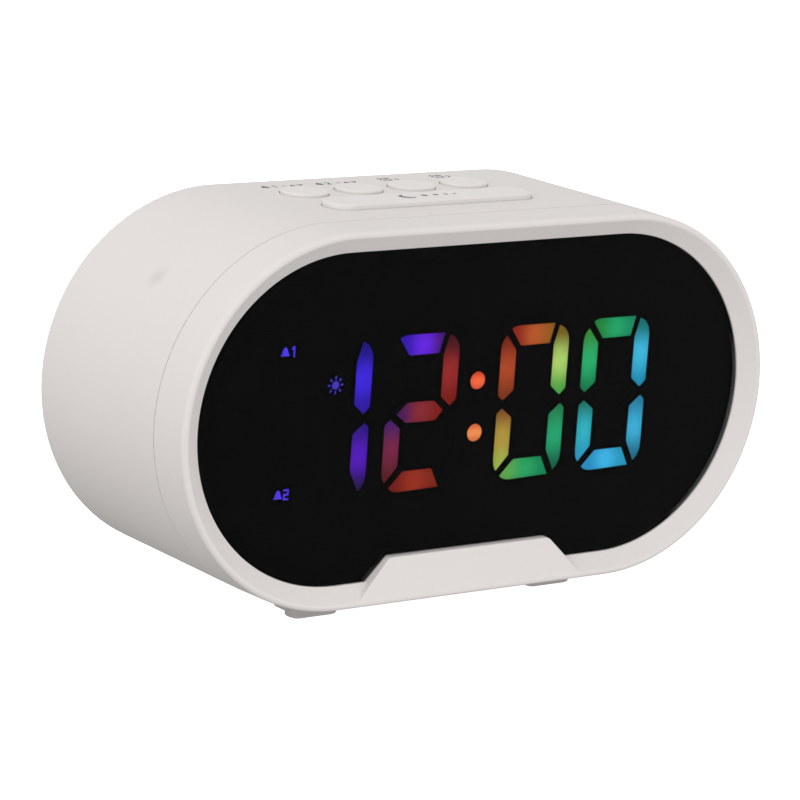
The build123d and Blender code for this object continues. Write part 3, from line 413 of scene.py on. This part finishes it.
def diffuser_finish(m):
    """Frosted light-pipe plastic under the glow."""
    m.color(m.mix(m.noise(700.0, 2.0), (0.012, 0.012, 0.013), (0.018, 0.018, 0.02)))
    m.rough(m.remap(m.noise(900.0, 2.0), 0.3, 0.7, 0.55, 0.7))
    m.bump(m.noise(4200.0, 2.0), 0.25, 0.00002)
    m.set(Specular_IOR_Level=0.2)


def dark_diffuser(name):
    """An unlit light behind smoked tint, as black as the film round it."""
    m = Mat(name)
    m.color(m.mix(m.noise(700.0, 2.0), (0.0016, 0.0016, 0.0017), (0.0030, 0.0030, 0.0031)))
    m.rough(m.remap(m.noise(900.0, 2.0), 0.3, 0.7, 0.86, 0.94))
    m.bump(m.noise(4200.0, 2.0), 0.15, 0.00001)
    m.set(Specular_IOR_Level=0.12)
    return m


def glow(name, tints, centre, along_x, half_len, half_wid, gain=1.0):
    m = Mat(name)
    diffuser_finish(m)
    x, y, z = m.xyz()
    u = x if along_x else z
    v = z if along_x else x
    uc, vc = (centre[0], centre[1]) if along_x else (centre[1], centre[0])
    first, last = (-half_len, half_len) if along_x else (half_len, -half_len)
    t = m.remap(u, uc + first, uc + last, 0.0, 1.0)
    cols = [tuple(q / WINDOW_PASS for q in lin(c)) for c in tints]
    col = m.ramp(t, [(0.04, cols[0]), (0.5, cols[1]), (0.96, cols[2])])
    d = m.math("DIVIDE", m.math("SUBTRACT", v, vc), half_wid)
    side = m.math("MULTIPLY", d, d)
    fade = m.math("MULTIPLY_ADD", side, -0.20, 1.03)
    fade = m.math("MULTIPLY", fade, m.remap(m.noise(650.0, 2.0), 0.3, 0.7, 0.95, 1.04))
    m.link(col, m.b.inputs["Emission Color"])
    m.link(m.math("MULTIPLY", fade, gain), m.b.inputs["Emission Strength"])
    return m


def poly_distance(p, poly):
    """0 inside the polygon, otherwise the distance to its outline."""
    inside, best = False, 1e9
    n = len(poly)
    for i in range(n):
        a, b = poly[i], poly[(i + 1) % n]
        if (a[1] > p[1]) != (b[1] > p[1]) and p[0] < (b[0] - a[0]) * (p[1] - a[1]) / (b[1] - a[1]) + a[0]:
            inside = not inside
        ab = (b[0] - a[0], b[1] - a[1])
        t = max(0.0, min(1.0, ((p[0] - a[0]) * ab[0] + (p[1] - a[1]) * ab[1]) / (ab[0] ** 2 + ab[1] ** 2)))
        best = min(best, math.hypot(p[0] - a[0] - t * ab[0], p[1] - a[1] - t * ab[1]))
    return 0.0 if inside else best


def lit_copy(node, name):
    """A copy of a diffuser's shape that can carry a material for each of its lights."""
    src = nodes[node]
    o = bpy.data.objects.new(name, src.data.copy())
    bpy.context.scene.collection.objects.link(o)
    o.data.materials.clear()
    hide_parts(node)
    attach(o, "case")
    return o


mask_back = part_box("segment_mask")[1].y - 0.02 * MM
for node, (cell_x, tints) in DIGITS.items():
    o = lit_copy(node, node.replace("diffuser", "lights"))
    names = list(SEGMENTS)
    o.data.materials.append(dark_diffuser(node + "_unlit").m)
    index = {}
    for seg in names:
        if seg not in tints:
            continue
        along = seg in ("top", "middle", "bottom")
        c = ((CENTRES[seg][0] + cell_x) * K, CENTRES[seg][1] * K + ZC)
        mat = glow(f"{node}_{seg}", tints[seg], c, along, 5.0 * K if along else 7.0 * K, 2.0 * K)
        o.data.materials.append(mat.m)
        index[seg] = len(o.data.materials) - 1
    for p in o.data.polygons:
        c = p.center
        p.material_index = 0
        if c.y < mask_back:
            q = (c.x / K - cell_x, (c.z - ZC) / K)
            seg = min(names, key=lambda s: poly_distance(q, SEGMENTS[s]))
            p.material_index = index.get(seg, 0)

o = lit_copy("colon_diffuser", "colon_lights")
o.data.materials.append(dark_diffuser("colon_unlit").m)
for i, (zz, tints) in enumerate(((5.1, [(196, 66, 36), (244, 104, 60), (214, 84, 50)]), (-5.5, [(206, 98, 50), (240, 142, 82), (206, 108, 62)]))):
    o.data.materials.append(glow(f"colon_dot_{i + 1}", tints, (0.0, zz * K + ZC), False, 1.8 * K, 1.8 * K).m)
for p in o.data.polygons:
    p.material_index = (1 if p.center.z > ZC else 2) if p.center.y < mask_back else 0

for node, centre, tint in (
    ("alarm_one_indicator", (-43.9, 13.8), (74, 56, 232)),
    ("alarm_two_indicator", (-43.9, -13.5), (80, 58, 226)),
    ("morning_indicator", (-33.0, 6.65), (64, 52, 176)),
):
    o = lit_copy(node, node.replace("indicator", "light"))
    o.data.materials.append(dark_diffuser(node + "_unlit").m)
    lo, hi = tuple(int(v * 0.82) for v in tint), tint
    o.data.materials.append(glow(node + "_lit", [lo, hi, lo], (centre[0] * MM, centre[1] * MM + ZC), True, 2.4 * MM, 1.4 * MM).m)
    for p in o.data.polygons:
        p.material_index = 1 if p.center.y < mask_back else 0


# ----------------------------------------------------------------------------
# printed marks on the housing: plain pictograms and numerals, thin ink
# ----------------------------------------------------------------------------
INK = Mat("printed_ink")
INK.color(INK.mix(INK.noise(1800.0, 3.0), lin((100, 100, 105)), lin((84, 84, 90))))
INK.rough(INK.remap(INK.noise(900.0, 2.0), 0.3, 0.7, 0.5, 0.65))
INK.bump(INK.noise(5200.0, 2.0), 0.2, 0.00001)


def prism(bm, pts, z0, z1):
    """A closed prism over a plane outline."""
    area = sum(a[0] * b[1] - b[0] * a[1] for a, b in zip(pts, pts[1:] + pts[:1]))
    if area < 0:
        pts = pts[::-1]
    low = [bm.verts.new((x, y, z0)) for x, y in pts]
    high = [bm.verts.new((x, y, z1)) for x, y in pts]
    bm.faces.new(low[::-1])
    bm.faces.new(high)
    n = len(pts)
    for i in range(n):
        bm.faces.new((low[i], low[(i + 1) % n], high[(i + 1) % n], high[i]))


def ring(bm, cx, cy, r0, r1, z0, z1, a0=0.0, a1=2 * math.pi, n=40):
    """An arc band; a full ring is one closed band."""
    full = abs(a1 - a0 - 2 * math.pi) < 1e-6
    steps = n if full else n + 1
    grid = []
    for i in range(steps):
        a = a0 + (a1 - a0) * i / n
        c, s = math.cos(a), math.sin(a)
        grid.append([bm.verts.new((cx + r * c, cy + r * s, z)) for r, z in ((r0, z0), (r1, z0), (r1, z1), (r0, z1))])
    count = n if full else n
    for i in range(count):
        g, h = grid[i], grid[(i + 1) % steps]
        for k in range(4):
            bm.faces.new((g[k], g[(k + 1) % 4], h[(k + 1) % 4], h[k]))
    if not full:
        bm.faces.new(grid[0][::-1])
        bm.faces.new(grid[-1])


def box2(bm, x0, y0, x1, y1, z0, z1, angle=0.0, about=(0.0, 0.0)):
    c, s = math.cos(angle), math.sin(angle)
    pts = []
    for x, y in ((x0, y0), (x1, y0), (x1, y1), (x0, y1)):
        pts.append((about[0] + x * c - y * s, about[1] + x * s + y * c))
    prism(bm, pts, z0, z1)


def numeral(bm, which, cx, cy, s, z0, z1):
    one = [(-0.42, 0.62), (0.02, 1.05), (0.38, 1.05), (0.38, -1.05), (0.02, -1.05), (0.02, 0.55), (-0.2, 0.38)]
    two = [(-0.62, 0.55), (-0.5, 0.9), (-0.15, 1.08), (0.2, 1.08), (0.52, 0.9), (0.64, 0.55), (0.52, 0.15), (-0.12, -0.68),
           (0.64, -0.68), (0.64, -1.05), (-0.66, -1.05), (-0.66, -0.72), (0.14, 0.28), (0.27, 0.55), (0.16, 0.72),
           (-0.08, 0.74), (-0.24, 0.55)]
    prism(bm, [(cx + x * s, cy + y * s) for x, y in (one if which == 1 else two)], z0, z1)


def alarm_icon(bm, cx, cy, r, z0, z1):
    """Twin-bell alarm clock pictogram."""
    ring(bm, cx, cy, r * 0.72, r * 0.94, z0, z1)
    box2(bm, -0.08 * r, -0.08 * r, 0.08 * r, 0.52 * r, z0, z1, 0.0, (cx, cy))
    box2(bm, -0.08 * r, 0.09 * r, 0.08 * r, 0.42 * r, z0, z1, -math.pi / 2, (cx, cy))
    for side in (-1, 1):
        a = math.pi / 2 + side * 0.72
        ring(bm, cx, cy, r * 1.06, r * 1.30, z0, z1, a - 0.34, a + 0.34, 10)
        box2(bm, -0.1 * r, -1.28 * r, 0.1 * r, -0.98 * r, z0, z1, side * 0.6, (cx, cy))


def bell_icon(bm, cx, cy, s, z0, z1):
    half = [(0.0, 1.05), (0.2, 0.98), (0.24, 0.82), (0.52, 0.6), (0.66, 0.2), (0.7, -0.25), (0.98, -0.55), (0.98, -0.72)]
    pts = [(cx + x * s, cy + y * s) for x, y in half] + [(cx - x * s, cy + y * s) for x, y in reversed(half[1:])]
    prism(bm, pts, z0, z1)
    ring(bm, cx, cy - 0.78 * s, 0.02 * s, 0.27 * s, z0, z1, math.pi, 2 * math.pi, 10)


def triangle(bm, cx, cy, s, up, z0, z1):
    k = 1 if up else -1
    prism(bm, [(cx - 0.62 * s, cy - 0.42 * s * k), (cx + 0.62 * s, cy - 0.42 * s * k), (cx, cy + 0.6 * s * k)], z0, z1)


def build(name, draw, body):
    bm = bmesh.new()
    draw(bm)
    bmesh.ops.recalc_face_normals(bm, faces=bm.faces)
    me = bpy.data.meshes.new(name)
    bm.to_mesh(me)
    bm.free()
    me.materials.append(INK.m)
    ob = bpy.data.objects.new(name, me)
    bpy.context.scene.collection.objects.link(ob)
    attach(ob, body)
    return ob


TOP = 78.0 * MM
INK0, INK1 = TOP - 0.01 * MM, TOP + 0.02 * MM
LABEL_Y = 19.4 * MM


def set_label(which, bx):
    def draw(bm):
        bell_icon(bm, (bx - 3.9) * MM, LABEL_Y, 1.0 * MM, INK0, INK1)
        numeral(bm, which, (bx - 1.75) * MM, LABEL_Y, 0.92 * MM, INK0, INK1)
        box2(bm, (bx + 0.1) * MM, LABEL_Y - 0.14 * MM, (bx + 1.1) * MM, LABEL_Y + 0.14 * MM, INK0, INK1)
        triangle(bm, (bx + 2.5) * MM, LABEL_Y, 1.25 * MM, True, INK0, INK1)
        triangle(bm, (bx + 4.4) * MM, LABEL_Y, 1.25 * MM, False, INK0, INK1)
    return draw


def alarm_label(which, bx):
    def draw(bm):
        alarm_icon(bm, (bx - 0.25) * MM, (20.0) * MM, 1.36 * MM, INK0, INK1)
        numeral(bm, which, (bx + 2.1) * MM, 19.4 * MM, 0.9 * MM, INK0, INK1)
    return draw


build("alarm_one_set_mark", set_label(1, -19.87), "case")
build("alarm_two_set_mark", set_label(2, -7.13), "case")
build("alarm_one_mark", alarm_label(1, 5.58), "case")
build("alarm_two_mark", alarm_label(2, 18.32), "case")

# ----------------------------------------------------------------------------
# floor, light, camera
# ----------------------------------------------------------------------------
fm = Mat("floor_paper")
fm.color(fm.mix(fm.noise(3.0, 2.0), (0.93, 0.93, 0.93), (0.95, 0.95, 0.95)))
fm.rough(fm.remap(fm.noise(8.0, 2.0), 0.3, 0.7, 0.9, 1.0))
fm.set(Specular_IOR_Level=0.0, Emission_Strength=1.0)
fm.b.inputs["Emission Color"].default_value = (1.0, 1.0, 1.0, 1.0)
me = bpy.data.meshes.new("floor_sheet")
bm = bmesh.new()
bmesh.ops.create_grid(bm, x_segments=8, y_segments=8, size=6.0)
bm.to_mesh(me)
bm.free()
floor = bpy.data.objects.new("floor_sheet", me)
me.materials.append(fm.m)
bpy.context.scene.collection.objects.link(floor)
floor.location = (0.0, 0.0, -0.0001)
floor.visible_diffuse = False
floor.visible_glossy = False
floor.visible_transmission = False
floor.visible_shadow = False

sc = bpy.context.scene
sc.view_settings.view_transform = "Standard"
sc.view_settings.look = "None"
sc.view_settings.exposure = 0.0
sc.view_settings.gamma = 1.0
world = bpy.data.worlds.new("studio")
sc.world = world
world.use_nodes = True
wn = world.node_tree
bg = wn.nodes["Background"]
bg.inputs["Color"].default_value = (1.0, 0.995, 0.99, 1.0)
# a soft dome, a little brighter above and darker below
w_coord = wn.nodes.new("ShaderNodeTexCoord")
w_split = wn.nodes.new("ShaderNodeSeparateXYZ")
wn.links.new(w_coord.outputs["Generated"], w_split.inputs[0])


def w_math(op, a, b):
    t = wn.nodes.new("ShaderNodeMath")
    t.operation = op
    for k, v in enumerate((a, b)):
        if isinstance(v, float):
            t.inputs[k].default_value = v
        else:
            wn.links.new(v, t.inputs[k])
    return t.outputs[0]


w_above = w_math("MULTIPLY", w_math("MAXIMUM", w_split.outputs["Z"], 0.0), DOME_UP)
w_below = w_math("MULTIPLY", w_math("MINIMUM", w_split.outputs["Z"], 0.0), DOME_DOWN)
wn.links.new(w_math("ADD", w_math("ADD", w_above, w_below), DOME_LEVEL), bg.inputs["Strength"])


def area(name, at, look, size, power, color=(1.0, 1.0, 1.0)):
    d = bpy.data.lights.new(name, "AREA")
    d.shape = "RECTANGLE"
    d.size, d.size_y = size
    d.energy = power
    d.color = color
    ob = bpy.data.objects.new(name, d)
    sc.collection.objects.link(ob)
    ob.location = at
    ob.rotation_euler = (Vector(look) - Vector(at)).to_track_quat("-Z", "Y").to_euler()
    return ob


area("side_softbox", (-1.02, -0.60, 0.22), (0.0, 0.0, 0.04), (0.8, 0.8), 4.4, (1.0, 0.99, 0.984))
bounce = area("table_bounce", (0.61, -0.92, -0.45), (0.0, 0.0, 0.04), (1.0, 0.8), 3.7, (1.0, 0.99, 0.984))
bounce.visible_glossy = False  # fills the shade without mirroring in the window
bounce.visible_transmission = False

cam_data = bpy.data.cameras.new("camera")
cam = bpy.data.objects.new("camera", cam_data)
sc.collection.objects.link(cam)
sc.camera = cam
cam_data.sensor_width = 36.0
cam_data.sensor_fit = "HORIZONTAL"
cam_data.lens = 3698.8 * 36.0 / 800.0
cam_data.clip_start = 0.01
cam_data.clip_end = 50.0
az, el, roll = math.radians(-35.656), math.radians(12.943), math.radians(3.484)
B = Vector((math.sin(az) * math.cos(el), -math.cos(az) * math.cos(el), math.sin(el)))
R = Vector((0, 0, 1)).cross(B).normalized()
U = B.cross(R)
R2 = R * math.cos(roll) + U * math.sin(roll)
U2 = U * math.cos(roll) - R * math.sin(roll)
rot = Matrix((R2, U2, B)).transposed().to_4x4()
rot.translation = Vector((-415.51, -576.16, 159.30 + 41.5)) * MM
cam.matrix_world = rot
